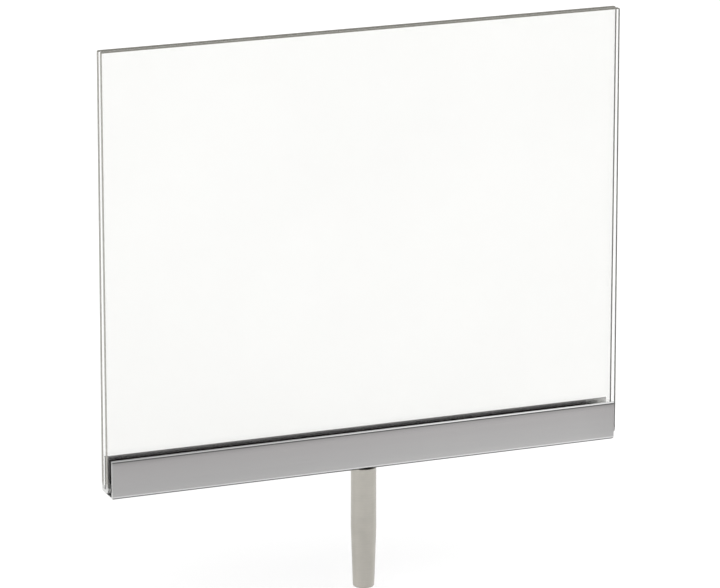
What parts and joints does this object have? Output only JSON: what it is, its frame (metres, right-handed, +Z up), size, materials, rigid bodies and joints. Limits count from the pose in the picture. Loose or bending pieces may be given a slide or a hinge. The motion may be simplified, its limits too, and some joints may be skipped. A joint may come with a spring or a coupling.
{
  "type": "sneeze guard",
  "caption": "Clear folded guard panel standing in a metal base channel on a tapered plug-in stem; the panel lifts out for cleaning.",
  "frame": {"origin": "centre of the stem's flat top face, on the stem's axis", "axes": "+X along the panel's width, -Y towards the front, +Z up; the stem plugs in along -Z"},
  "size_m": [0.2794, 0.013, 0.2972],
  "materials": {
    "clear_acrylic": "polished clear cast acrylic",
    "satin_chrome": "satin chrome with polished edges",
    "satin_nickel": "satin nickel, turned",
    "black_liner": "matt black liner strip",
    "cushion_rubber": "matt black rubber",
    "zinc_steel": "zinc plated",
    "dark_steel": "black oxide",
    "stud_steel": "plain steel"
  },
  "bodies": {
    "base": {"base_channel": "satin_chrome", "front_liner": "black_liner", "rear_liner": "black_liner", "cushion_strip_left": "cushion_rubber", "cushion_strip_right": "cushion_rubber", "stem": "satin_nickel", "stem_screw": "zinc_steel", "lock_washer": "dark_steel", "draw_stud": "stud_steel"},
    "panel": {"clear_pocket": "clear_acrylic"}
  },
  "joints": [
    {"name": "panel_lift", "type": "slide", "parent": "base", "child": "panel", "axis": [0, 0, 1], "range_m": [0, 0.025]}
  ]
}
